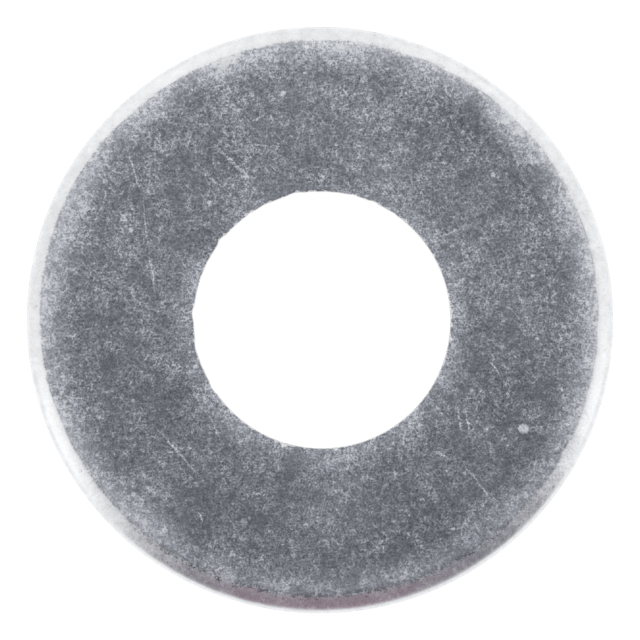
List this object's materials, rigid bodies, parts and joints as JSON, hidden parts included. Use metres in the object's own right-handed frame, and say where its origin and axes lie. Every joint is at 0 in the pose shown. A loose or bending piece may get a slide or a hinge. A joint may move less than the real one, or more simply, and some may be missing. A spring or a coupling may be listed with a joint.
{
  "type": "flat washer",
  "caption": "Round flat washer of zinc-plated steel, wide pattern, with a rounded stamped rim on one face and a sharp-edged central bolt hole.",
  "frame": {"origin": "centre of the rim, on the lower bearing face", "axes": "+Z along the washer's axis, from the lower face to the upper face, which has the rounded edge at its rim; +X towards the side that the hole is off centre to"},
  "size_m": [0.0254, 0.0254, 0.0021],
  "materials": {
    "zinc_plated_steel": "satin"
  },
  "bodies": {
    "root": {"washer": "zinc_plated_steel"}
  },
  "joints": []
}
